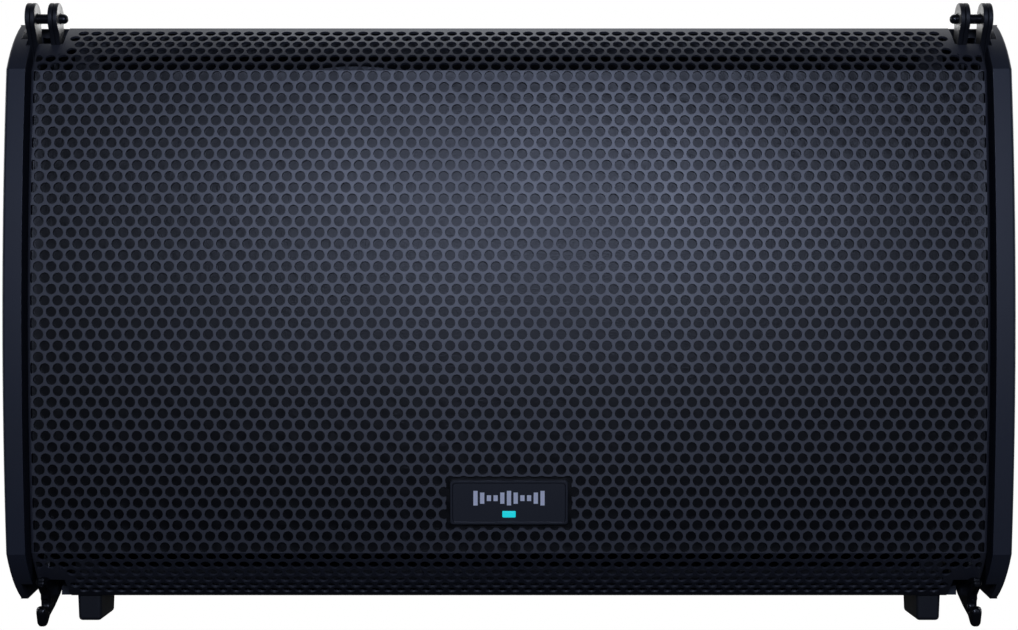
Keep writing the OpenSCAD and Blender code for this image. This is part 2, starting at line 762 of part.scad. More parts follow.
// Waveguide: a flared slot with a round throat at the back
horn_deep = 118;
horn_end = baffle_at + horn_deep;
horn_slot = 20;
module horn_plan(grow, d0) {
    polygon([[-horn_neck / 2 - grow, d0], [horn_neck / 2 + grow, d0],
        [horn_neck / 2 + grow, baffle_at], [horn_slot / 2 + grow, horn_end],
        [-horn_slot / 2 - grow, horn_end], [-horn_neck / 2 - grow, baffle_at]]);
}
module horn_body(grow, d0, tall) {
    translate([horn_right, front_y, mid_z - tall / 2]) linear_extrude(tall)
        horn_plan(grow, d0);
}
module waveguide() {
    color(dark_tint) difference() {
        union() {
            block(horn_right - horn_w / 2, horn_right + horn_w / 2, flange_at, baffle_at,
                mid_z - horn_h / 2, mid_z + horn_h / 2);
            horn_body(0, baffle_at, horn_tall);
            along_y(horn_right, horn_end - 30, mid_z) cylinder(h = 36, r = 38);
        }
        horn_body(-horn_wall, flange_at - 1, horn_tall - 2 * horn_wall);
        along_y(horn_right, horn_end - 40, mid_z) cylinder(h = 60, r = throat_r);
        for (p = horn_screws) along_y(p[0], flange_at - 1, p[1])
            cylinder(h = flange_t + 2, r = 2.7);
    }
}
driver_at = horn_end + 6;
driver_l = 64;
room_r = driver_r - 14;
room_at = driver_at + 20;
room_l = 18;
module hf_driver() {
    color(dark_tint) difference() {
        along_y(horn_right, driver_at, mid_z) cylinder(h = driver_l, r = driver_r);
        along_y(horn_right, driver_at - 1, mid_z) cylinder(h = 30, r = throat_r);
        along_y(horn_right, room_at, mid_z) cylinder(h = room_l, r = room_r);
    }
}
film_t = 0.5;
film_rise = 6;
module hf_diaphragm() {
    film_r = room_r - 8;
    film_at = room_at + 4;
    film_ball = (film_r * film_r + film_rise * film_rise) / 2 / film_rise;
    dome = [for (i = [0 : 8]) let (r = film_r * i / 8)
        [r, film_at + film_rise - (sqrt(film_ball * film_ball - r * r) - film_ball
            + film_rise)]];
    color([0.80, 0.81, 0.84]) turned(horn_right, 0, mid_z)
        polygon(concat(dome, [[film_r + 4, film_at + film_rise],
            [film_r + 4, film_at + film_rise + film_t], [film_r, film_at + film_rise + film_t],
            [film_r, film_at + film_rise + 5], [film_r - 1, film_at + film_rise + 5]],
            [for (i = [7 : -1 : 0]) dome[i] + [0, film_t]]));
}

// Four bass ports in the corners round the woofer
port_wall = 2.5;
module port_tubes() {
    color(dark_tint) for (p = port_spots) turned(p[0], 0, mid_z + p[1])
        polygon([[port_r - port_wall, baffle_at - 2], [port_r + 3, baffle_at - 2],
            [port_r + 3, baffle_at], [port_r, baffle_at], [port_r, baffle_at + port_l],
            [port_r - port_wall, baffle_at + port_l]]);
}

// Rear steel plate: ears for the link above, receiver ears with angle holes below
spine_w = 90;
pivot_at = body_d - 14;
pivot_z = mid_z + pivot_up;
box_pitch = pin_z - seat_z;
hole_z = mid_z - receiver_down;
splay_pitch = (pivot_at - pin_at) * sin(splay_step);
splay_holes = 4;
ear_r = 14;
link_side = 1;
receiver_side = 2;
spine_face = back_out + spine_t;
module ear(x, z0, z1) {
    across(x, spine_t) polygon([[back_out + 1, z0 - ear_r], [pivot_at, z0 - ear_r],
        [pivot_at, z1 + ear_r], [back_out + 1, z1 + ear_r]]);
    block(x, x + spine_t, pivot_at - 1, body_d, z0, max(z1, z0 + eps));
    for (z = [z0, z1]) along_x(x, pivot_at, z) cylinder(h = spine_t, r = ear_r);
}
spine_screw_r = 3;
spine_bite = 9;
spine_screws = [for (sx = [-1, 1], z = [-100, -40, 40, 100]) [sx * 36, mid_z + z]];
module rear_spine() {
    last_z = hole_z + (splay_holes - 1) * splay_pitch;
    color(steel_tint) difference() {
        union() {
            block(-spine_w / 2, spine_w / 2, back_out, spine_face,
                max(hole_z - 16, sole(spine_face) + ply + 0.5),
                min(pivot_z + 14, deck(spine_face) - ply - 0.5));
            both() ear(link_t / 2 + link_side, pivot_z, pivot_z);
            both() ear(link_t / 2 + receiver_side, hole_z, last_z);
        }
        along_x(-40, pivot_at, pivot_z) cylinder(h = 80, r = pivot_r);
        for (i = [0 : splay_holes - 1])
            along_x(-40, pivot_at, hole_z + i * splay_pitch)
                cylinder(h = 80, r = quick_r + run_gap);
        for (p = spine_screws) along_y(p[0], back_out - 1, p[1])
            cylinder(h = spine_t + 2, r = 3.2);
    }
}

// Splay link: a flat bar with a hole at each end, stowed hanging down
link_len = box_pitch - pivot_up - receiver_down;
module splay_link() {
    color(zinc_tint) difference() {
        union() {
            block(-link_t / 2, link_t / 2, pivot_at - link_r, pivot_at + link_r,
                pivot_z - link_len, pivot_z);
            for (z = [pivot_z, pivot_z - link_len])
                along_x(-link_t / 2, pivot_at, z) cylinder(h = link_t, r = link_r);
        }
        along_x(-link_t, pivot_at, pivot_z) cylinder(h = 2 * link_t, r = pivot_r + run_gap);
        along_x(-link_t, pivot_at, pivot_z - link_len)
            cylinder(h = 2 * link_t, r = quick_r + run_gap);
    }
}
pivot_head = link_t / 2 + link_side + spine_t;
module link_pivot_pin() {
    color(zinc_tint) {
        along_x(-pivot_head, pivot_at, pivot_z) cylinder(h = 2 * pivot_head, r = pivot_r);
        for (x = [-pivot_head - 3, pivot_head])
            along_x(x, pivot_at, pivot_z) cylinder(h = 3, r = pivot_r + 3);
    }
}

// Quick-release pin in the lowest receiver hole, with a push button in its head
quick_head = link_t / 2 + receiver_side + spine_t + 0.2;
head_l = 9;
button_r = 2.2;
button_up = 3;
module quick_pin() {
    color(zinc_tint) difference() {
        union() {
            along_x(-quick_head - 3, pivot_at, hole_z)
                cylinder(h = 2 * quick_head + 3 + eps, r = quick_r);
            along_x(quick_head, pivot_at, hole_z) cylinder(h = head_l, r = 9);
        }
        along_x(quick_head - 8, pivot_at, hole_z)
            cylinder(h = head_l + 10, r = button_r + run_gap);
    }
}
module quick_pin_button() {
    color([0.70, 0.12, 0.10]) along_x(quick_head - 4, pivot_at, hole_z)
        cylinder(h = head_l + 4 + button_up, r = button_r);
}

// Rear panels: controls on one side, power on the other
panel_face = back_out + rear_panel_t;
panel_screws = [for (sx = [6, rear_panel_w - 6], sz = [-1, 0, 1])
    [rear_panel_x + sx, mid_z + sz * (rear_panel_h / 2 - 6)]];
socket_r = 11.5;
in_x = -105;
out_x = -160;
socket_z = mid_z + 30;
encoder_x = -215;
encoder_z = mid_z + 86;
display_x = -140;
display_w = 84;
display_h = 30;
module panel_plate() {
    difference() {
        block(rear_panel_x, rear_panel_x + rear_panel_w, back_out, panel_face,
            mid_z - rear_panel_h / 2, mid_z + rear_panel_h / 2);
        for (p = panel_screws) along_y(p[0], back_out - 1, p[1])
            cylinder(h = rear_panel_t + 2, r = 2.2);
    }
}
module control_panel() {
    color(dark_tint) difference() {
        mirror([1, 0, 0]) panel_plate();
        for (x = [in_x, out_x]) along_y(x, back_out - 1, socket_z)
            cylinder(h = rear_panel_t + 2, r = socket_r + 0.5);
        block(in_x - latch_w / 2 - 0.5, in_x + latch_w / 2 + 0.5, back_out - 1,
            panel_face + 1, socket_z, socket_z + latch_up + latch_h / 2 + 0.5);
        block(display_x - display_w / 2, display_x + display_w / 2, back_out - 1,
            panel_face + 1, encoder_z - display_h / 2, encoder_z + display_h / 2);
        along_y(encoder_x, back_out - 1, encoder_z) cylinder(h = rear_panel_t + 2, r = 3.5);
    }
}
inlet_x = 212;
inlet_z = mid_z + 30;
inlet_w = 46;
inlet_h = 84;
module power_panel() {
    color(dark_tint) difference() {
        panel_plate();
        block(inlet_x - inlet_w / 2 + 4, inlet_x + inlet_w / 2 - 4, back_out - 1,
            panel_face + 1, inlet_z - inlet_h / 2 + 4, inlet_z + inlet_h / 2 - 4);
    }
}

// Steel cans behind the rear panels, and the boards inside them
can_t = 1.5;
can_at = back_out - 78;
module amp_housings() {
    color(zinc_tint) both() difference() {
        rear_well(rear_panel_x, rear_panel_w, can_at, back_out, well_edge + 1);
        rear_well(rear_panel_x, rear_panel_w, can_at + can_t, back_out + 1,
            well_edge + 1 + can_t);
    }
}
board_at = can_at + 14;
board_in = 20;
module circuit_board() {
    rear_well(rear_panel_x, rear_panel_w, board_at, board_at + 1.6, board_in);
    for (sx = [board_in + 8, rear_panel_w - board_in - 8], sz = [-1, 1])
        along_y(rear_panel_x + sx, can_at + can_t, mid_z + sz * (rear_panel_h / 2 - board_in - 8))
            cylinder(h = board_at - can_at - can_t + eps, r = 3);
}
module circuit_boards() {
    color(board_tint) {
        both() circuit_board();
        for (z = [-60, -20, 20]) along_y(100, board_at + 1.6 - eps, mid_z + z)
            cylinder(h = 34, r = 15);
        block(125, 185, board_at + 1.6 - eps, board_at + 34, mid_z - 95, mid_z - 40);
        for (x = [-200, -150, -100]) block(x, x + 30, board_at + 1.6 - eps, board_at + 8,
            mid_z - 80, mid_z - 50);
    }
}

// Heatsink on the power panel: a base with upright fins
fin_n = 11;
fin_t = 2.4;
sink_w = 104;
sink_h = 190;
sink_base = 4;
sink_deep = body_d - 6 - panel_face;
module heatsink() {
    x0 = rear_panel_x + 14;
    color(dark_tint) {
        block(x0, x0 + sink_w, panel_face, panel_face + sink_base,
            mid_z - sink_h / 2, mid_z + sink_h / 2);
        for (i = [0 : fin_n - 1]) let (x = x0 + i * (sink_w - fin_t) / (fin_n - 1))
            block(x, x + fin_t, panel_face + sink_base - eps, panel_face + sink_deep,
                mid_z - sink_h / 2, mid_z + sink_h / 2);
    }
}
module display_window() {
    color([0.02, 0.03, 0.05])
        block(display_x - display_w / 2 + 0.2, display_x + display_w / 2 - 0.2,
            back_out, panel_face + 0.8, encoder_z - display_h / 2 + 0.2,
            encoder_z + display_h / 2 - 0.2);
}

// Push-and-turn encoder: a plunger with a long shaft, and the knob that turns on it
shaft_r = 3;
push_travel = 0.5;
plunger_at = back_out - 9;
knob_at = panel_face + 0.9 + push_travel;
shaft_in = 9;
module encoder_plunger() {
    color(zinc_tint) along_y(encoder_x, plunger_at, encoder_z)
        union() {
            cylinder(h = 5, r = 6);
            cylinder(h = knob_at + shaft_in - plunger_at, r = shaft_r);
        }
}
module encoder_knob() {
    color(dark_tint) along_y(encoder_x, knob_at, encoder_z) difference() {
        cylinder(h = 15, r = 9);
        translate([0, 0, -1]) cylinder(h = shaft_in + 1.3, r = shaft_r + run_gap);
        for (a = [0 : 30 : 330]) rotate([0, 0, a]) translate([9.5, 0, 3])
            cylinder(h = 20, r = 1.2);
    }
}

// Signal sockets: a square flange with a round barrel
flange_w = 26;
flange_h = 31;
barrel_l = 24;
module socket_shell(x) {
    block(x - flange_w / 2, x + flange_w / 2, panel_face, panel_face + 2,
        socket_z - flange_h / 2, socket_z + flange_h / 2);
    along_y(x, panel_face - barrel_l, socket_z)
        cylinder(h = barrel_l + 0.5, r = socket_r);
}
module contacts(x, r, d, l) {
    for (a = [90, 210, 330])
        along_y(x + 5 * cos(a), d, socket_z + 5 * sin(a)) cylinder(h = l, r = r);
}
latch_w = 7;
latch_h = 5;
latch_up = 12;
latch_travel = 2;
module line_in_socket() {
    color(dark_tint) difference() {
        socket_shell(in_x);
        along_y(in_x, panel_face - 14, socket_z) difference() {
            cylinder(h = 30, r = 9.7);
            cylinder(h = 14.5, r = 7.7);
        }
        contacts(in_x, 1.6, panel_face - 12, 20);
        block(in_x - latch_w / 2 - 0.3, in_x + latch_w / 2 + 0.3, panel_face - 4 - latch_travel,
            panel_face + 5, socket_z + latch_up - latch_h / 2 - 0.3,
            socket_z + latch_up + latch_h / 2 + 0.3);
    }
}
module socket_latch() {
    color(zinc_tint) block(in_x - latch_w / 2, in_x + latch_w / 2, panel_face - 3.5,
        panel_face + 4, socket_z + latch_up - latch_h / 2, socket_z + latch_up + latch_h / 2);
}
module line_out_socket() {
    color(dark_tint) {
        difference() {
            socket_shell(out_x);
            along_y(out_x, panel_face - 14, socket_z) cylinder(h = 30, r = 9.7);
        }
        contacts(out_x, 1.2, panel_face - 14 - eps, 11);
    }
}

// Power inlet with the frame of the power switch above it
well_w = 25;
well_h = 17.5;
rocker_w = 14;
rocker_h = 22;
rocker_z = inlet_z + 24;
axle_r = 0.9;
axle_l = rocker_w + 3;
module rocker_axle(r, l) {
    along_x(inlet_x - l / 2, panel_face, rocker_z) cylinder(h = l, r = r);
}
module mains_inlet() {
    low = inlet_z - 16;
    color(dark_tint) difference() {
        union() {
            block(inlet_x - inlet_w / 2, inlet_x + inlet_w / 2, panel_face,
                panel_face + 3, inlet_z - inlet_h / 2, inlet_z + inlet_h / 2);
            block(inlet_x - inlet_w / 2 + 4.5, inlet_x + inlet_w / 2 - 4.5,
                panel_face - 22, panel_face + eps,
                inlet_z - inlet_h / 2 + 4.5, inlet_z + inlet_h / 2 - 4.5);
        }
        difference() {
            block(inlet_x - well_w / 2, inlet_x + well_w / 2, panel_face - 16,
                panel_face + 4, low - well_h / 2, low + well_h / 2);
            for (x = [-7, 0, 7]) block(inlet_x + x - 1, inlet_x + x + 1,
                panel_face - 17, panel_face - 1, low - 2 + (x == 0 ? 3 : -1),
                low + 2 + (x == 0 ? 3 : -1));
        }
        block(inlet_x - rocker_w / 2 - 0.4, inlet_x + rocker_w / 2 + 0.4,
            panel_face - 14, panel_face + 4, rocker_z - rocker_h / 2 - 0.6,
            rocker_z + rocker_h / 2 + 0.6);
        rocker_axle(axle_r + run_gap, axle_l + 0.6);
    }
}
rocker_tilt = 8;
module power_rocker() {
    half = rocker_h / 2;
    color([0.06, 0.06, 0.07]) {
        across(inlet_x - rocker_w / 2, rocker_w)
            translate([panel_face, rocker_z]) rotate(-rocker_tilt)
                polygon([[0, -half + 1.5], [2.6, -half + 2.2], [1.2, 0], [2.6, half - 2.2],
                    [0, half - 1.5], [-8, 5], [-8, -5]]);
        rocker_axle(axle_r, axle_l);
    }
}

// Screws of the spine and both rear panels
module rear_screw(r, head, l) {
    translate([0, 0, -l]) cylinder(h = l + eps, r = r);
    cylinder(h = 1.8, r = head);
}
module rear_screws() {
    color(zinc_tint) {
        for (p = spine_screws) along_y(p[0], spine_face, p[1])
            rear_screw(spine_screw_r, 5, spine_t + spine_bite);
        both() for (p = panel_screws) along_y(p[0], panel_face, p[1]) rear_screw(2, 3.5, 3);
    }
}

cabinet_top();
cabinet_bottom();
cabinet_side_left();
cabinet_side_right();
cabinet_back();
baffle();
side_panel_left();
side_panel_right();
handle_cups();
case_screws();
front_feet();
rear_feet();
rig_outer_left();
rig_outer_right();
rig_inner_left();
rig_inner_right();
rig_doublers();
hook_left();
hook_right();
rig_pins();
rig_bolts();
grille();
grille_foam();
grille_posts();
badge();
badge_light();
woofer_frame();
woofer_surround();
woofer_cone();
dust_cap();
woofer_spider();
voice_coil();
woofer_top_plate();
woofer_magnet();
woofer_back_plate();
driver_screws();
waveguide();
hf_driver();
hf_diaphragm();
port_tubes();
rear_spine();
splay_link();
link_pivot_pin();
quick_pin();
quick_pin_button();
control_panel();
power_panel();
amp_housings();
circuit_boards();
heatsink();
display_window();
encoder_plunger();
encoder_knob();
line_in_socket();
socket_latch();
line_out_socket();
mains_inlet();
power_rocker();
rear_screws();
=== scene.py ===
import json
import math
import bmesh
import bpy
import numpy as np
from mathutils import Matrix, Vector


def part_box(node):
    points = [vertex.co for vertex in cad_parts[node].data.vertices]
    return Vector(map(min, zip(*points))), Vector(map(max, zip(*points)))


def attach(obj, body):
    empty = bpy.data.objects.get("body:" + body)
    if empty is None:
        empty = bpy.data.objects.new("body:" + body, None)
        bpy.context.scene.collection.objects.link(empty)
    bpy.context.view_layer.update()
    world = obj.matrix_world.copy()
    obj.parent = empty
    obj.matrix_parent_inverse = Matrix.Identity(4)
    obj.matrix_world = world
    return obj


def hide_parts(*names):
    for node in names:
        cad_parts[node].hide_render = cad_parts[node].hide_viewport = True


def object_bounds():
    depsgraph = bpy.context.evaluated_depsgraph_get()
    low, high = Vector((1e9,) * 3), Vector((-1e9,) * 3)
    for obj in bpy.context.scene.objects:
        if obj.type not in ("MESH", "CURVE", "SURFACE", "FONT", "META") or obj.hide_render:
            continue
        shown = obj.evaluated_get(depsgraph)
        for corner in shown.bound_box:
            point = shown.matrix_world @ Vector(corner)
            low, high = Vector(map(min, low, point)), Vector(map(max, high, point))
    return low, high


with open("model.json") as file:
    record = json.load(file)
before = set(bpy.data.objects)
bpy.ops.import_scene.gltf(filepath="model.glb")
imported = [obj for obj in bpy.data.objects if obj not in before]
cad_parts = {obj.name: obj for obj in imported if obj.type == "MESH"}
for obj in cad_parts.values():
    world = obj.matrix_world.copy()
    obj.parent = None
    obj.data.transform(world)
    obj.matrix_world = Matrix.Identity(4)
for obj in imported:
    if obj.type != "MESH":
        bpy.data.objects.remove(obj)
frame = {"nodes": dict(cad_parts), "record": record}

cad_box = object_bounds()

# ---------------------------------------------------------------- camera and studio
# The box stands square to the camera, which looks level at the middle of its front.
# A white backdrop lies behind. The main light is small and soft, just above and behind the
# camera; weaker ones stand at both sides, overhead and at the back.
front_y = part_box("grille")[0].y
camera_away = 1.150
camera_z = 0.1927
camera = bpy.data.objects.new("camera", bpy.data.cameras.new("camera"))
camera.data.sensor_width = 36.0
camera.data.lens = 67.1
camera.location = (0.0, front_y - camera_away, camera_z)
camera.rotation_euler = (math.pi / 2, 0.0, 0.0)
bpy.context.scene.collection.objects.link(camera)
bpy.context.scene.camera = camera
bpy.context.scene.view_settings.view_transform = "Standard"


def soft_light(name, place, aim, width, height, watts, tint=(1.0, 1.0, 1.0)):
    """A rectangular soft light at place, turned so that its face looks at aim."""
    data = bpy.data.lights.new(name, "AREA")
    data.shape = "RECTANGLE"
    data.size = width
    data.size_y = height
    data.energy = watts
    data.color = tint
    light = bpy.data.objects.new(name, data)
    turn = (np.array(aim) - np.array(place))
    pitch = math.atan2(-turn[2], math.hypot(turn[0], turn[1]))
    light.location = place
    light.rotation_euler = (math.pi / 2 - pitch, 0.0, math.atan2(-turn[0], turn[1]))
    bpy.context.scene.collection.objects.link(light)


soft_light("key_light", (0.04, -1.75, 0.57), (0.02, -0.2, 0.25), 0.46, 0.36, 11.5, (0.62, 0.71, 1.0))
soft_light("left_light", (-1.60, 0.35, 0.50), (-0.3, 0.0, 0.2), 0.5, 1.2, 8.0, (0.90, 0.92, 1.0))
soft_light("right_light", (1.60, 0.35, 0.50), (0.3, 0.0, 0.2), 0.5, 1.2, 8.0, (0.90, 0.92, 1.0))
soft_light("top_light", (0.0, 0.6, 1.8), (0.0, 0.3, 0.2), 1.0, 0.8, 3.5, (0.80, 0.86, 1.0))
soft_light("back_light", (0.3, 2.2, 1.0), (0.0, 0.2, 0.2), 1.6, 1.0, 30.0)


def wire(tree, source, target):
    """Joins one node's output socket to another's input socket."""
    tree.links.new(source, target)


def studio_sky():
    """White for what the camera sees itself; for all else a backdrop that is bright behind
    the box and dim in front of it, a smooth step of the direction's +Y part."""
    world = bpy.data.worlds.new("studio")
    bpy.context.scene.world = world
    world.use_nodes = True
    tree = world.node_tree
    tree.nodes.clear()
    out = tree.nodes.new("ShaderNodeOutputWorld")
    seen = tree.nodes.new("ShaderNodeBackground")
    seen.inputs["Color"].default_value = (1.0, 1.0, 1.0, 1.0)
    felt = tree.nodes.new("ShaderNodeBackground")
    mixer = tree.nodes.new("ShaderNodeMixShader")
    path = tree.nodes.new("ShaderNodeLightPath")
    where = tree.nodes.new("ShaderNodeTexCoord")
    split = tree.nodes.new("ShaderNodeSeparateXYZ")
    ramp = tree.nodes.new("ShaderNodeMapRange")
    ramp.interpolation_type = "SMOOTHSTEP"
    ramp.inputs["From Min"].default_value = 0.0
    ramp.inputs["From Max"].default_value = 0.7
    ramp.inputs["To Min"].default_value = 0.006
    ramp.inputs["To Max"].default_value = 0.90
    wire(tree, where.outputs["Generated"], split.inputs[0])
    wire(tree, split.outputs["Y"], ramp.inputs["Value"])
    wire(tree, ramp.outputs[0], felt.inputs["Strength"])
    wire(tree, path.outputs["Is Camera Ray"], mixer.inputs[0])
    wire(tree, felt.outputs[0], mixer.inputs[1])
    wire(tree, seen.outputs[0], mixer.inputs[2])
    wire(tree, mixer.outputs[0], out.inputs[0])


studio_sky()


def studio_floor():
    """A large square at floor level, plain white to the camera and pale grey to light."""
    mesh = bpy.data.meshes.new("studio_floor")
    half = 6.0
    corners = [(-half, -half, 0), (half, -half, 0), (half, half, 0), (-half, half, 0)]
    mesh.from_pydata(corners, [], [(0, 1, 2, 3)])
    floor = bpy.data.objects.new("studio_floor", mesh)
    bpy.context.scene.collection.objects.link(floor)
    paint = bpy.data.materials.new("studio_floor")
    paint.use_nodes = True
    tree = paint.node_tree
    tree.nodes.clear()
    out = tree.nodes.new("ShaderNodeOutputMaterial")
    chalk = tree.nodes.new("ShaderNodeBsdfDiffuse")
    chalk.inputs["Color"].default_value = (0.05, 0.05, 0.05, 1.0)
    glow = tree.nodes.new("ShaderNodeEmission")
    mixer = tree.nodes.new("ShaderNodeMixShader")
    path = tree.nodes.new("ShaderNodeLightPath")
    wire(tree, path.outputs["Is Camera Ray"], mixer.inputs[0])
    wire(tree, chalk.outputs[0], mixer.inputs[1])
    wire(tree, glow.outputs[0], mixer.inputs[2])
    wire(tree, mixer.outputs[0], out.inputs[0])
    mesh.materials.append(paint)


studio_floor()


# ---------------------------------------------------------------- side panels
# Thick moulded side panels in dark satin plastic with a fine spark-eroded grain. Each is
# screwed to the plywood; its front outer edge is rounded off more than the others.
def moulded_grain():
    """A shader group: small and large noise on the object's own coordinates give a height
    for the grain, a slow mask that varies tone, and a tone mixed from two colours by it."""
    group = bpy.data.node_groups.new("grain", "ShaderNodeTree")
    face = group.interface
    face.new_socket("Tone", in_out="INPUT", socket_type="NodeSocketColor")
    face.new_socket("Shade", in_out="INPUT", socket_type="NodeSocketColor")
    for word, value in (("Grain Size", 900.0), ("Cloud Size", 9.0), ("Rough", 0.5), ("Spread", 0.08)):
        face.new_socket(word, in_out="INPUT", socket_type="NodeSocketFloat").default_value = value
    face.new_socket("Color", in_out="OUTPUT", socket_type="NodeSocketColor")
    face.new_socket("Height", in_out="OUTPUT", socket_type="NodeSocketFloat")
    face.new_socket("Roughness", in_out="OUTPUT", socket_type="NodeSocketFloat")
    given = group.nodes.new("NodeGroupInput")
    result = group.nodes.new("NodeGroupOutput")
    where = group.nodes.new("ShaderNodeTexCoord")
    fine = group.nodes.new("ShaderNodeTexNoise")
    fine.inputs["Detail"].default_value = 3.0
    cloud = group.nodes.new("ShaderNodeTexNoise")
    cloud.inputs["Detail"].default_value = 5.0
    cloud.inputs["Roughness"].default_value = 0.6
    tone = group.nodes.new("ShaderNodeMix")
    tone.data_type = "RGBA"
    ramp = group.nodes.new("ShaderNodeMapRange")
    ramp.inputs["From Min"].default_value = 0.35
    ramp.inputs["From Max"].default_value = 0.65
    swing = group.nodes.new("ShaderNodeMath")
    swing.operation = "MULTIPLY_ADD"
    wire(group, where.outputs["Object"], fine.inputs["Vector"])
    wire(group, where.outputs["Object"], cloud.inputs["Vector"])
    wire(group, given.outputs["Grain Size"], fine.inputs["Scale"])
    wire(group, given.outputs["Cloud Size"], cloud.inputs["Scale"])
    wire(group, cloud.outputs[0], ramp.inputs["Value"])
    wire(group, ramp.outputs[0], tone.inputs["Factor"])
    wire(group, given.outputs["Tone"], tone.inputs["A"])
    wire(group, given.outputs["Shade"], tone.inputs["B"])
    wire(group, ramp.outputs[0], swing.inputs[0])
    wire(group, given.outputs["Spread"], swing.inputs[1])
    wire(group, given.outputs["Rough"], swing.inputs[2])
    wire(group, tone.outputs["Result"], result.inputs["Color"])
    wire(group, fine.outputs[0], result.inputs["Height"])
    wire(group, swing.outputs[0], result.inputs["Roughness"])
    return group


grain = moulded_grain()


def finish_of(name, tone, shade, rough, spread=0.08, metal=0.0, grain_size=900.0, cloud_size=9.0,
              bump=0.15, depth=0.0002, coat=0.0, sheen=0.0, glow=None, specular=0.5):
    """A material whose colour and roughness drift between two values and whose bump is the
    grain group's height; the constants sit on the shader's own sockets."""
    paint = bpy.data.materials.new(name)
    paint.use_nodes = True
    tree = paint.node_tree
    shader = tree.nodes["Principled BSDF"]
    shader.inputs["Metallic"].default_value = metal
    shader.inputs["Coat Weight"].default_value = coat
    shader.inputs["Sheen Weight"].default_value = sheen
    shader.inputs["Specular IOR Level"].default_value = specular
    body = tree.nodes.new("ShaderNodeGroup")
    body.node_tree = grain
    body.inputs["Tone"].default_value = (*tone, 1.0)
    body.inputs["Shade"].default_value = (*shade, 1.0)
    body.inputs["Grain Size"].default_value = grain_size
    body.inputs["Cloud Size"].default_value = cloud_size
    body.inputs["Rough"].default_value = rough
    body.inputs["Spread"].default_value = spread
    relief = tree.nodes.new("ShaderNodeBump")
    relief.inputs["Strength"].default_value = bump
    relief.inputs["Distance"].default_value = depth
    wire(tree, body.outputs["Color"], shader.inputs["Base Color"])
    wire(tree, body.outputs["Roughness"], shader.inputs["Roughness"])
    wire(tree, body.outputs["Height"], relief.inputs["Height"])
    wire(tree, relief.outputs["Normal"], shader.inputs["Normal"])
    if glow:
        shader.inputs["Emission Color"].default_value = (*glow[0], 1.0)
        shader.inputs["Emission Strength"].default_value = glow[1]
    return paint


body_of_node = {n: b for b, ns in frame["record"]["behaviour"]["bodies"].items() for n in ns}


def paint_node(node, paint):
    """A node whose shape is right keeps its mesh and takes the finish given."""
    data = frame["nodes"][node].data
    data.materials.clear()
    data.materials.append(paint)


def edged(node, paint, edge, steps=2, wide=None, keep=24.0, clamp=True):
    """A copy of a node with its triangles merged, its flat faces joined and its edges rounded:
    each edge that turns by more than keep degrees gets the radius edge, or edge times the
    number that wide gives for the edge's two ends. With clamp off no edge is held back."""
    mesh = frame["nodes"][node].data.copy()
    mesh.name = node + "_shape"
    form = bmesh.new()
    form.from_mesh(mesh)
    bmesh.ops.remove_doubles(form, verts=form.verts, dist=2e-6)
    bmesh.ops.dissolve_limit(form, angle_limit=math.radians(0.4), verts=form.verts, edges=form.edges)
    weight = form.edges.layers.float.new("bevel_weight_edge")
    limit = math.radians(keep)
    for line in form.edges:
        if len(line.link_faces) == 2 and line.calc_face_angle(0.0) > limit:
            share = wide(line.verts[0].co, line.verts[1].co) if wide else 1.0
            line[weight] = share
    form.to_mesh(mesh)
    form.free()
    if "custom_normal" in mesh.attributes:
        mesh.attributes.remove(mesh.attributes["custom_normal"])
    mesh.shade_smooth()
    mesh.set_sharp_from_angle(angle=limit)
    mesh.materials.clear()
    mesh.materials.append(paint)
    piece = bpy.data.objects.new(node + "_piece", mesh)
    bpy.context.scene.collection.objects.link(piece)
    round_off = piece.modifiers.new("rounded_edges", "BEVEL")
    round_off.limit_method = "WEIGHT"
    round_off.width = edge
    round_off.segments = steps
    round_off.use_clamp_overlap = clamp
    round_off.harden_normals = True
    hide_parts(node)
    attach(piece, body_of_node[node])
    return piece


panel_paint = finish_of("side_panel_plastic", (0.024, 0.028, 0.040), (0.020, 0.023, 0.033), 0.40,
                        0.06, grain_size=1500.0, cloud_size=14.0, bump=0.22, depth=0.00012)
panel_outer = cad_box[1].x


def outer_rim(a, b):
    """1 along the outer face's front outline, a tenth elsewhere."""
    outside = min(abs(a.x), abs(b.x)) > panel_outer - 0.0002
    return 1.0 if outside and max(a.y, b.y) < front_y + 0.05 else 0.1


for panel in ("side_panel_left", "side_panel_right"):
    edged(panel, panel_paint, 0.0020, 4, outer_rim, clamp=False)


# ---------------------------------------------------------------- grille
# A folded steel sheet 1.5 mm thick, punched with 6.35 mm holes on staggered centres and
# powder coated in blue-black. It bends to a tighter curve above and below, and its side
# edges fold back. Two corners at each end are cut out for the rigging, and a window takes
# the badge.
mm = 0.001
mid_z = (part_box("grille")[0].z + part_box("grille")[1].z) / 2
face_h = 294.8 * mm
face_r = 1210 * mm
band_d = 34 * mm
band_turn = math.radians(30)
body_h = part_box("grille")[1].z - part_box("grille")[0].z
face_a = math.asin(face_h / 2 / face_r)
face_sag = face_r - face_r * math.cos(face_a)
band_h = (body_h - face_h) / 2
band_r = math.hypot(band_d, band_h) / 2 / math.sin(band_turn / 2)
band_a = math.atan2(band_d, band_h) - band_turn / 2
band_cy = face_sag + band_r * math.cos(band_a)
band_cz = face_h / 2 - band_r * math.sin(band_a)
crease = face_r * face_a
sheet_t = 1.5 * mm
sheet_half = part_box("grille")[1].x
sheet_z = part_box("grille")[1].z - mid_z
fold_r = 2.0 * mm
fold_depth = 8 * mm
flat_half = sheet_half - fold_r
hole_r = 3.24 * mm
pitch = 7.93 * mm
row = pitch * math.sqrt(3) / 2
sheet_end = crease + band_r * (math.asin((sheet_z - band_cz) / band_r) - band_a)
notch_in = 276 * mm
recess_in = 275 * mm
notch_depth = 25 * mm
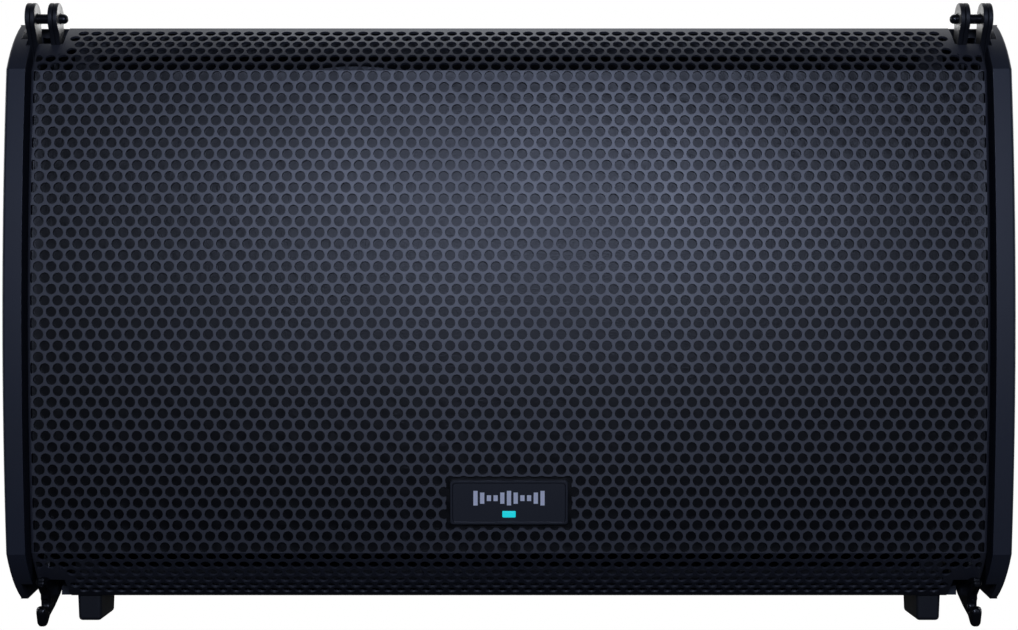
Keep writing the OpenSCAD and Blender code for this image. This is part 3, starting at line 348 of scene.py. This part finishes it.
notch_s = crease + band_r * (math.acos((band_cy - notch_depth) / band_r) - band_a)


def outline_at(s):
    """Where the front outline runs: s is the way along it from the middle. The middle is an
    arc of radius face_r, each end an arc of radius band_r. Gives y, z and the outward
    normal's y and z."""
    far = np.abs(s) > crease
    side = np.sign(s)
    a = s / face_r
    b = band_a + (np.abs(s) - crease) / band_r
    y = np.where(far, band_cy - band_r * np.cos(b), face_r - face_r * np.cos(a))
    z = np.where(far, side * (band_cz + band_r * np.sin(b)), face_r * np.sin(a))
    ny = np.where(far, -np.cos(b), -np.cos(a))
    nz = np.where(far, side * np.sin(b), np.sin(a))
    return front_y + y, mid_z + z, ny, nz


def folded(u, s, h):
    """Places a point of the flat sheet: u across, s along the outline, h into the sheet.
    Past flat_half the sheet turns a quarter circle of radius fold_r and runs backwards."""
    w = np.abs(u) - flat_half
    turn = np.clip(w / fold_r, 0.0, math.pi / 2)
    straight = np.maximum(w - fold_r * math.pi / 2, 0.0)
    x = np.where(w > 0, flat_half + (fold_r - h) * np.sin(turn), np.abs(u))
    inward = np.where(w > 0, fold_r - (fold_r - h) * np.cos(turn) + straight, h)
    y, z, ny, nz = outline_at(s)
    return np.stack([np.sign(u) * x, y - inward * ny, z - inward * nz], axis=-1)


ring_a = np.radians(np.arange(12) * 30.0)
ring = hole_r * np.stack([np.cos(ring_a), np.sin(ring_a)], axis=-1)
hex_a = np.radians(30 + np.arange(6) * 60.0)
hexagon = pitch / math.sqrt(3) * np.stack([np.cos(hex_a), np.sin(hex_a)], axis=-1)


def punched_cells(rows, hole_limit):
    """Cells of a staggered pattern: each is a hexagon of six corners, with twelve points of
    its hole inside. Gives the points and triangles of the whole pattern, flat."""
    with_hole, plain = [], []
    for k in rows:
        shift = 0.5 * (k % 2)
        across = (np.arange(-38, 39) + shift) * pitch
        across = across[np.abs(across) < flat_half + pitch]
        centres = np.stack([across, np.full_like(across, k * row)], axis=-1)
        holed = np.abs(across) < hole_limit(k) * pitch + 0.25 * pitch
        with_hole.append(centres[holed])
        plain.append(centres[~holed])
    with_hole = np.concatenate(with_hole)
    plain = np.concatenate(plain)
    shape = np.concatenate([hexagon, ring])
    cut = (with_hole[:, None, :] + shape[None]).reshape(-1, 2)
    full = (plain[:, None, :] + hexagon[None]).reshape(-1, 2)
    web = []
    for i in range(6):
        a, b = i, (i + 1) % 6
        r0, r1, r2 = 6 + (1 + 2 * i) % 12, 6 + (2 + 2 * i) % 12, 6 + (3 + 2 * i) % 12
        web += [(a, b, r1), (a, r1, r0), (b, r2, r1)]
    web = (np.array(web)[None] + 18 * np.arange(len(with_hole))[:, None, None]).reshape(-1, 3)
    fan = np.array([(0, 1, 2), (0, 2, 3), (0, 3, 4), (0, 4, 5)])
    fan = (fan[None] + 6 * np.arange(len(plain))[:, None, None]).reshape(-1, 3) + len(cut)
    return np.concatenate([cut, full]), np.concatenate([web, fan])


def clamped(points, u0, u1, s0, s1):
    """Points outside the rectangle move to its nearest edge, so cells end on a clean line."""
    return np.stack([np.clip(points[:, 0], u0, u1), np.clip(points[:, 1], s0, s1)], axis=-1)


def side_fold(points, sign):
    """A strip from the sheet's straight edge round the fold, with rows at the edge's points."""
    edge = points[np.abs(points[:, 0] - sign * flat_half) < 1e-7]
    rows = np.unique(np.round(edge[:, 1], 7))
    quarter = fold_r * math.pi / 2
    fold_end = quarter + fold_depth - fold_r
    columns = flat_half + np.array([0, quarter / 3, quarter * 2 / 3, quarter, fold_end])
    grid_u, grid_s = np.meshgrid(sign * columns, rows)
    n = len(columns)
    i = (np.arange(len(rows) - 1)[:, None] * n + np.arange(n - 1)[None]).ravel()
    quads = np.stack([i, i + 1, i + n + 1, i, i + n + 1, i + n], axis=-1).reshape(-1, 3)
    if sign < 0:
        quads = quads[:, ::-1]
    return np.stack([grid_u.ravel(), grid_s.ravel()], axis=-1), quads


def sheet_mesh(name, parts):
    """Welds the flat parts, drops what has no area, then gives the sheet its two skins and a
    wall along every open edge: round each hole, along the outline and in the window."""
    points = np.concatenate([p for p, t in parts])
    start = np.cumsum([0] + [len(p) for p, t in parts])
    tris = np.concatenate([t + o for (p, t), o in zip(parts, start)])
    keys, where = np.unique(np.round(points, 7), axis=0, return_inverse=True)
    tris = where.ravel()[tris]
    a, b, c = (keys[tris[:, i]] for i in range(3))
    area = (b[:, 0] - a[:, 0]) * (c[:, 1] - a[:, 1]) - (b[:, 1] - a[:, 1]) * (c[:, 0] - a[:, 0])
    tris = tris[area > 1e-10]
    count = len(keys)
    edges = np.concatenate([tris[:, [0, 1]], tris[:, [1, 2]], tris[:, [2, 0]]])
    code = edges[:, 0].astype(np.int64) * count + edges[:, 1]
    back_code = edges[:, 1].astype(np.int64) * count + edges[:, 0]
    rim = edges[~np.isin(code, back_code)]
    walls = np.concatenate([
        np.stack([rim[:, 1], rim[:, 0], rim[:, 0] + count], axis=-1),
        np.stack([rim[:, 1], rim[:, 0] + count, rim[:, 1] + count], axis=-1)])
    front = folded(keys[:, 0], keys[:, 1], np.zeros(count))
    rear = folded(keys[:, 0], keys[:, 1], np.full(count, sheet_t))
    faces = np.concatenate([tris, tris[:, ::-1] + count, walls])
    used, faces = np.unique(faces, return_inverse=True)
    mesh = bpy.data.meshes.new(name)
    mesh.from_pydata(np.concatenate([front, rear])[used].tolist(), [], faces.reshape(-1, 3).tolist())
    mesh.shade_smooth()
    mesh.set_sharp_from_angle(angle=math.radians(35))
    return mesh


badge_z = 78.6 * mm
window_u = 38.2 * mm
window_h = 15.75 * mm
window_s0 = face_r * math.asin((badge_z - window_h - mid_z) / face_r)
window_s1 = face_r * math.asin((badge_z + window_h - mid_z) / face_r)


def window_cut(points, tris):
    """The flat sheet is cut along the window's four sides, near the window only, and the faces
    whose middle lies inside it are dropped. Gives the points and triangles that are left."""
    mesh = bpy.data.meshes.new("flat_sheet")
    mesh.from_pydata(np.insert(points, 2, 0.0, axis=1).tolist(), [], tris.tolist())
    form = bmesh.new()
    form.from_mesh(mesh)
    bmesh.ops.remove_doubles(form, verts=form.verts, dist=2e-7)
    mid_s = (window_s0 + window_s1) / 2
    reach_u = window_u + pitch
    reach_s = window_h + pitch
    across = (1, 0, 0)
    along = (0, 1, 0)
    sides = (((window_u, 0, 0), across), ((-window_u, 0, 0), across),
             ((0, window_s0, 0), along), ((0, window_s1, 0), along))
    for side_at, side_turn in sides:
        near = [face for face in form.faces
                if abs(face.calc_center_median().x) < reach_u
                and abs(face.calc_center_median().y - mid_s) < reach_s]
        lines = {line for face in near for line in face.edges}
        dots = {dot for face in near for dot in face.verts}
        bmesh.ops.bisect_plane(form, geom=near + list(lines) + list(dots), dist=1e-7,
                               plane_co=side_at, plane_no=side_turn)
    inside = [face for face in form.faces
              if abs(face.calc_center_median().x) < window_u
              and window_s0 < face.calc_center_median().y < window_s1]
    bmesh.ops.delete(form, geom=inside, context="FACES")
    bmesh.ops.triangulate(form, faces=form.faces)
    form.to_mesh(mesh)
    form.free()
    left = np.empty(3 * len(mesh.vertices), np.float32)
    mesh.vertices.foreach_get("co", left)
    order = np.empty(len(mesh.loops), np.int32)
    mesh.loops.foreach_get("vertex_index", order)
    bpy.data.meshes.remove(mesh)
    return left.reshape(-1, 3)[:, :2].astype(float), order.reshape(-1, 3)


def on_crease(points):
    """The zigzag between the last row of the middle and the first of a band is pulled straight."""
    s = points[:, 1]
    near = np.abs(np.abs(s) - crease) < 1.6 * mm
    ring_gap = np.abs(np.abs(s) - 21.5 * row) > 1.0 * mm
    return np.stack([points[:, 0], np.where(near & ring_gap, np.sign(s) * crease, s)], axis=-1)


last_row = 28


def hole_rows(k):
    """How many pitches from the middle the outermost hole of row k lies; the last row is plain."""
    k = abs(k)
    if k == last_row:
        return -1.0
    if k % 2:
        return 36.5 if k <= 23 else 33.5
    return 36.0 if k <= 22 else 34.0


grille_paint = finish_of("grille_powder_coat", (0.027, 0.029, 0.038), (0.023, 0.025, 0.034), 0.43,
                         0.07, grain_size=2600.0, cloud_size=7.0, bump=0.25, depth=0.0001, specular=0.95)


def grille_part(name, parts):
    """One part of the sheet as a piece of its own."""
    mesh = sheet_mesh(name, parts)
    mesh.materials.append(grille_paint)
    piece = bpy.data.objects.new(name, mesh)
    bpy.context.scene.collection.objects.link(piece)
    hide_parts("grille")
    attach(piece, body_of_node["grille"])
    return piece


middle, middle_tris = punched_cells(range(-21, 22), hole_rows)
middle, middle_tris = window_cut(clamped(on_crease(middle), -flat_half, flat_half, -crease, crease),
                                 middle_tris)
grille_part("grille_middle", [(middle, middle_tris), side_fold(middle, 1), side_fold(middle, -1)])
for side, corner_in in ((1, notch_in), (-1, recess_in)):
    near_rows = [side * k for k in (22, 23)]
    far_rows = [side * k for k in range(24, last_row + 1)]
    low, high = sorted((side * crease, side * sheet_end))
    near, near_tris = punched_cells(near_rows, hole_rows)
    near = clamped(on_crease(near), -flat_half, flat_half, low, high)
    far, far_tris = punched_cells(far_rows, hole_rows)
    parts = [(near, near_tris), (clamped(far, -corner_in, corner_in, low, high), far_tris)]
    low, high = sorted((side * crease, side * notch_s))
    ears, ear_tris = punched_cells([side * 24, side * 25], lambda k: 0.0)
    for hand in (-1, 1):
        u0, u1 = sorted((hand * corner_in, hand * flat_half))
        ear = clamped(ears, u0, u1, low, high)
        parts.append((ear, ear_tris))
        edge = np.concatenate([near, ear])
        parts.append(side_fold(edge, hand))
    grille_part("grille_band_top" if side > 0 else "grille_band_bottom", parts)


# ---------------------------------------------------------------- foam behind the grille
# A sheet of open-cell acoustic foam, dyed blue-black, glued to the back of the grille's
# middle. It keeps dust out, and shows at the bottom of every hole.
foam_t = 7 * mm
foam_gap = 0.3 * mm
foam_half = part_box("grille_foam")[1].x


def foam_sheet():
    """A grid across u and s, offset inwards from the outline, for the front and the back
    skin; the front skin is ruffled by small waves. The two skins are joined all round."""
    nu, ns = 150, 80
    u, s = np.meshgrid(np.linspace(-foam_half, foam_half, nu), np.linspace(-crease, crease, ns) * 0.998)
    wave = np.sin(u * 900) * np.cos(s * 830) * np.sin((u + s) * 410)
    keep_flat = np.ones_like(u)
    keep_flat[[0, -1], :] = 0
    keep_flat[:, [0, -1]] = 0
    y, z, ny, nz = outline_at(s)
    skins = []
    for depth, ruffle in ((sheet_t + foam_gap, 0.35 * mm), (sheet_t + foam_gap + foam_t, 0.0)):
        h = depth + ruffle * (wave + 1.0) * keep_flat
        skins.append(np.stack([u, y - h * ny, z - h * nz], axis=-1).reshape(-1, 3))
    i = (np.arange(ns - 1)[:, None] * nu + np.arange(nu - 1)[None]).ravel()
    front = np.stack([i, i + 1, i + nu + 1, i + nu], axis=-1)
    count = nu * ns
    loop = np.concatenate([np.arange(nu), np.arange(2, ns + 1) * nu - 1,
                           (ns - 1) * nu + np.arange(nu - 2, -1, -1), np.arange(ns - 2, -1, -1) * nu])
    walls = np.stack([loop[1:], loop[:-1], loop[:-1] + count, loop[1:] + count], axis=-1)
    mesh = bpy.data.meshes.new("foam_sheet")
    faces = np.concatenate([front, front[:, ::-1] + count, walls])
    mesh.from_pydata(np.concatenate(skins).tolist(), [], faces.tolist())
    mesh.shade_smooth()
    mesh.set_sharp_from_angle(angle=math.radians(50))
    return mesh


def foam_finish():
    """Dark cells and lighter struts: a Voronoi distance drives both the colour and the bump. The darker
    colour lies where the bump sinks, in the hollows of the cells, so it is painted shade in the pores;
    the lighter one on the struts is the foam's own blue-black.
    """
    paint = bpy.data.materials.new("acoustic_foam")
    paint.use_nodes = True
    tree = paint.node_tree
    shader = tree.nodes["Principled BSDF"]
    shader.inputs["Roughness"].default_value = 0.36
    shader.inputs["Specular IOR Level"].default_value = 0.27
    where = tree.nodes.new("ShaderNodeTexCoord")
    cells = tree.nodes.new("ShaderNodeTexVoronoi")
    cells.inputs["Scale"].default_value = 1300.0
    # Painted shade: colour A, the darker one, falls at the middles of the cells, where the bump makes
    # the pores' hollows.
    tone = tree.nodes.new("ShaderNodeMix")
    tone.data_type = "RGBA"
    tone.inputs["A"].default_value = (0.0006, 0.0007, 0.0009, 1.0)
    tone.inputs["B"].default_value = (0.0016, 0.0018, 0.0024, 1.0)
    relief = tree.nodes.new("ShaderNodeBump")
    relief.inputs["Strength"].default_value = 0.35
    relief.inputs["Distance"].default_value = 0.0002
    wire(tree, where.outputs["Object"], cells.inputs["Vector"])
    wire(tree, cells.outputs["Distance"], tone.inputs["Factor"])
    wire(tree, tone.outputs["Result"], shader.inputs["Base Color"])
    wire(tree, cells.outputs["Distance"], relief.inputs["Height"])
    wire(tree, relief.outputs["Normal"], shader.inputs["Normal"])
    return paint


foam = bpy.data.objects.new("foam_behind_grille", foam_sheet())
foam.data.materials.append(foam_finish())
bpy.context.scene.collection.objects.link(foam)
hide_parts("grille_foam")
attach(foam, body_of_node["grille_foam"])


# ---------------------------------------------------------------- badge and its light
# A moulded plate with a raised rim, clipped into the window of the grille. Its field bears
# a plain row of printed bars, and a blue-green lens is let in below them.
badge_paint = finish_of("badge_plastic", (0.0105, 0.0125, 0.0185), (0.0095, 0.0110, 0.0165), 0.42,
                        0.04, grain_size=2200.0, cloud_size=30.0, bump=0.10, depth=0.0001)
edged("badge", badge_paint, 0.45 * mm, 3)
lens_paint = finish_of("lens", (0.004, 0.020, 0.024), (0.005, 0.024, 0.028), 0.30,
                       0.02, bump=0.0, glow=((0.0125, 0.600, 0.690), 1.0))
edged("badge_light", lens_paint, 0.7 * mm, 3)
print_paint = finish_of("printed_ink", (0.85, 0.85, 0.90), (0.80, 0.80, 0.85), 0.50,
                        0.05, grain_size=3000.0, bump=0.05, depth=0.0001)


def printed_bars():
    """Upright bars in a row across the badge's field, each a thin block. Their heights follow
    two waves of a raised cosine, and they lie in the field's plane: along it by up, off it
    by out, both turned by the badge's tilt."""
    tilt = math.asin((mid_z - badge_z) / face_r)
    field_y = front_y + face_r - math.sqrt(face_r ** 2 - (mid_z - badge_z) ** 2)
    count, wide, reach = 11, 2.6 * mm, 20.4 * mm
    across = np.linspace(-reach, reach, count)
    half = (1.5 + 1.5 * (1.0 + np.cos(across / reach * 2 * math.pi))) * mm
    corner = np.array([[i, j, k] for k in (0, 1) for j in (-1, 1) for i in (-1, 1)], float)
    x = across[:, None] + corner[None, :, 0] * wide / 2
    up = 2.6 * mm + corner[None, :, 1] * half[:, None]
    out = np.broadcast_to(corner[None, :, 2] * 0.12 * mm - 0.04 * mm, up.shape)
    y = field_y - out * math.cos(tilt) - up * math.sin(tilt)
    z = badge_z - out * math.sin(tilt) + up * math.cos(tilt)
    block = np.array([(0, 2, 3, 1), (4, 5, 7, 6), (0, 1, 5, 4),
                      (1, 3, 7, 5), (3, 2, 6, 7), (2, 0, 4, 6)])
    faces = (block[None] + 8 * np.arange(count)[:, None, None]).reshape(-1, 4)
    mesh = bpy.data.meshes.new("printed_bars")
    mesh.from_pydata(np.stack([x, y, z], axis=-1).reshape(-1, 3).tolist(), [], faces.tolist())
    form = bmesh.new()
    form.from_mesh(mesh)
    bmesh.ops.recalc_face_normals(form, faces=form.faces)
    form.to_mesh(mesh)
    form.free()
    return mesh


bars = bpy.data.objects.new("printed_bars", printed_bars())
bars.data.materials.append(print_paint)
bpy.context.scene.collection.objects.link(bars)
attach(bars, body_of_node["badge"])

# ---------------------------------------------------------------- front rigging
# Laser-cut steel plates, laminated in pairs, with their edges broken and painted satin
# black. A steel pin crosses the two arms of each fork, and a thicker hook plate with
# well-rounded edges is bolted between them below.
rig_paint = finish_of("rig_paint", (0.0085, 0.0095, 0.0130), (0.0065, 0.0075, 0.0105), 0.46,
                      0.10, grain_size=1800.0, cloud_size=60.0, bump=0.18, depth=0.0001)
for plate in ("rig_outer_left", "rig_outer_right", "rig_inner_left", "rig_inner_right", "rig_doublers"):
    edged(plate, rig_paint, 0.7 * mm, 3, clamp=False)
hook_paint = finish_of("hook_paint", (0.0060, 0.0068, 0.0085), (0.0045, 0.0050, 0.0065), 0.26,
                       0.10, grain_size=1500.0, cloud_size=70.0, bump=0.15, depth=0.0001)
for plate in ("hook_left", "hook_right"):
    edged(plate, hook_paint, 2.2 * mm, 4, clamp=False)
pin_steel = finish_of("black_oxide_steel", (0.012, 0.012, 0.014), (0.020, 0.020, 0.023), 0.22,
                      0.12, metal=0.6, grain_size=2500.0, cloud_size=90.0, bump=0.08, depth=0.0001)
paint_node("rig_pins", pin_steel)
zinc = finish_of("zinc_plate", (0.42, 0.43, 0.45), (0.33, 0.34, 0.36), 0.32,
                 0.16, metal=1.0, grain_size=1900.0, cloud_size=45.0, bump=0.10, depth=0.0001)
black_zinc = finish_of("black_zinc", (0.030, 0.031, 0.034), (0.045, 0.046, 0.050), 0.30,
                       0.14, metal=0.8, grain_size=1900.0, cloud_size=45.0, bump=0.10, depth=0.0001)
paint_node("rig_bolts", black_zinc)
paint_node("case_screws", black_zinc)

# ---------------------------------------------------------------- feet
# Drafted rubber blocks with softened corners, screwed under the four corners of the box.
rubber = finish_of("foot_rubber", (0.0055, 0.0070, 0.0105), (0.0045, 0.0055, 0.0085), 0.62,
                   0.08, grain_size=2600.0, cloud_size=80.0, bump=0.25, depth=0.00015)
for feet in ("front_feet", "rear_feet"):
    edged(feet, rubber, 2.2 * mm, 3)

# ---------------------------------------------------------------- plywood box
# Birch plywood under a hard, finely pebbled spray-on coating. It shows at the rear, on top
# and below, and as a dark ground behind the two bands of the grille.
coating = finish_of("pebbled_coating", (0.0075, 0.0080, 0.0100), (0.0055, 0.0060, 0.0078), 0.58,
                    0.10, grain_size=750.0, cloud_size=20.0, bump=0.75, depth=0.0006)
for wall in ("cabinet_top", "cabinet_bottom", "cabinet_side_left", "cabinet_side_right", "cabinet_back"):
    paint_node(wall, coating)
matt_black = finish_of("matt_black", (0.0022, 0.0024, 0.0030), (0.0018, 0.0020, 0.0026), 0.85,
                       0.05, grain_size=900.0, bump=0.3, depth=0.0003, specular=0.2)
for wall in ("baffle", "grille_posts", "port_tubes", "waveguide"):
    paint_node(wall, matt_black)
cup_plastic = finish_of("cup_plastic", (0.0105, 0.0115, 0.0150), (0.0085, 0.0095, 0.0125), 0.48,
                        0.08, grain_size=1400.0, cloud_size=30.0, bump=0.30, depth=0.00015)
edged("handle_cups", cup_plastic, 1.2 * mm, 3)

# ---------------------------------------------------------------- drivers inside the box
# A cast frame, rubber surround, pulp cone and dust cap in front of a ferrite magnet, with
# the high-frequency driver behind its own throat. The foam hides them from the front.
cast = finish_of("cast_aluminium", (0.055, 0.056, 0.060), (0.040, 0.041, 0.044), 0.45,
                 0.10, metal=0.7, grain_size=900.0, bump=0.3, depth=0.0002)
for inner in ("woofer_frame", "hf_driver", "woofer_top_plate", "woofer_back_plate"):
    paint_node(inner, cast)
paint_node("driver_screws", black_zinc)
paint_node("woofer_surround", rubber)
pulp = finish_of("cone_pulp", (0.0095, 0.0095, 0.0100), (0.0140, 0.0140, 0.0145), 0.82,
                 0.08, grain_size=350.0, cloud_size=60.0, bump=0.6, depth=0.0004, sheen=0.2)
for inner in ("woofer_cone", "dust_cap"):
    paint_node(inner, pulp)
cloth = finish_of("spider_cloth", (0.42, 0.30, 0.13), (0.36, 0.25, 0.10), 0.80,
                  0.08, grain_size=1600.0, cloud_size=50.0, bump=0.6, depth=0.0003, sheen=0.3)
paint_node("woofer_spider", cloth)
copper = finish_of("coil_copper", (0.62, 0.26, 0.12), (0.52, 0.20, 0.09), 0.30,
                   0.10, metal=1.0, grain_size=1800.0, bump=0.3, depth=0.0001)
paint_node("voice_coil", copper)
ferrite = finish_of("ferrite", (0.020, 0.020, 0.021), (0.028, 0.028, 0.029), 0.70,
                    0.12, grain_size=500.0, bump=0.3, depth=0.0002)
paint_node("woofer_magnet", ferrite)
film = finish_of("diaphragm_film", (0.20, 0.17, 0.10), (0.18, 0.15, 0.09), 0.35,
                 0.08, grain_size=800.0, bump=0.1, depth=0.0001)
paint_node("hf_diaphragm", film)

# ---------------------------------------------------------------- rear rigging
# A folded steel spine screwed to the back, painted like the front plates. The link swings
# on a headed pin above, and a quick-release pin with a red button crosses the ears below.
edged("rear_spine", rig_paint, 0.6 * mm, 2)
edged("splay_link", zinc, 0.5 * mm, 2)
paint_node("link_pivot_pin", zinc)
paint_node("quick_pin", zinc)
button_red = finish_of("button_red", (0.42, 0.012, 0.010), (0.36, 0.010, 0.009), 0.35,
                       0.06, grain_size=1800.0, bump=0.08, depth=0.0001)
paint_node("quick_pin_button", button_red)

# ---------------------------------------------------------------- rear panels
# Two aluminium plates, anodised black: one holds the sockets, the display and the knob,
# the other the power inlet with its switch and a finned heatsink. Steel cans close them in.
anodised = finish_of("anodised_black", (0.0120, 0.0125, 0.0145), (0.0100, 0.0105, 0.0122), 0.40,
                     0.07, metal=0.3, grain_size=2600.0, cloud_size=16.0, bump=0.10, depth=0.0001)
for plate in ("control_panel", "power_panel"):
    edged(plate, anodised, 0.4 * mm, 2)
paint_node("heatsink", anodised)
paint_node("rear_screws", black_zinc)
can_steel = finish_of("galvanised_steel", (0.36, 0.37, 0.38), (0.27, 0.28, 0.30), 0.42,
                      0.18, metal=1.0, grain_size=60.0, cloud_size=55.0, bump=0.05, depth=0.0001)
paint_node("amp_housings", can_steel)
board_green = finish_of("board_green", (0.010, 0.070, 0.030), (0.008, 0.055, 0.024), 0.40,
                        0.08, grain_size=1200.0, bump=0.2, depth=0.0001)
paint_node("circuit_boards", board_green)
glass = finish_of("display_glass", (0.0030, 0.0040, 0.0065), (0.0025, 0.0035, 0.0055), 0.10,
                  0.02, bump=0.0, coat=0.6)
paint_node("display_window", glass)
socket_plastic = finish_of("socket_plastic", (0.0090, 0.0092, 0.0100), (0.0070, 0.0072, 0.0080), 0.40,
                           0.08, grain_size=1900.0, bump=0.15, depth=0.0001)
for plate in ("line_in_socket", "line_out_socket", "mains_inlet", "encoder_knob"):
    edged(plate, socket_plastic, 0.4 * mm, 2)
edged("power_rocker", socket_plastic, 0.5 * mm, 2)
paint_node("socket_latch", zinc)
paint_node("encoder_plunger", zinc)
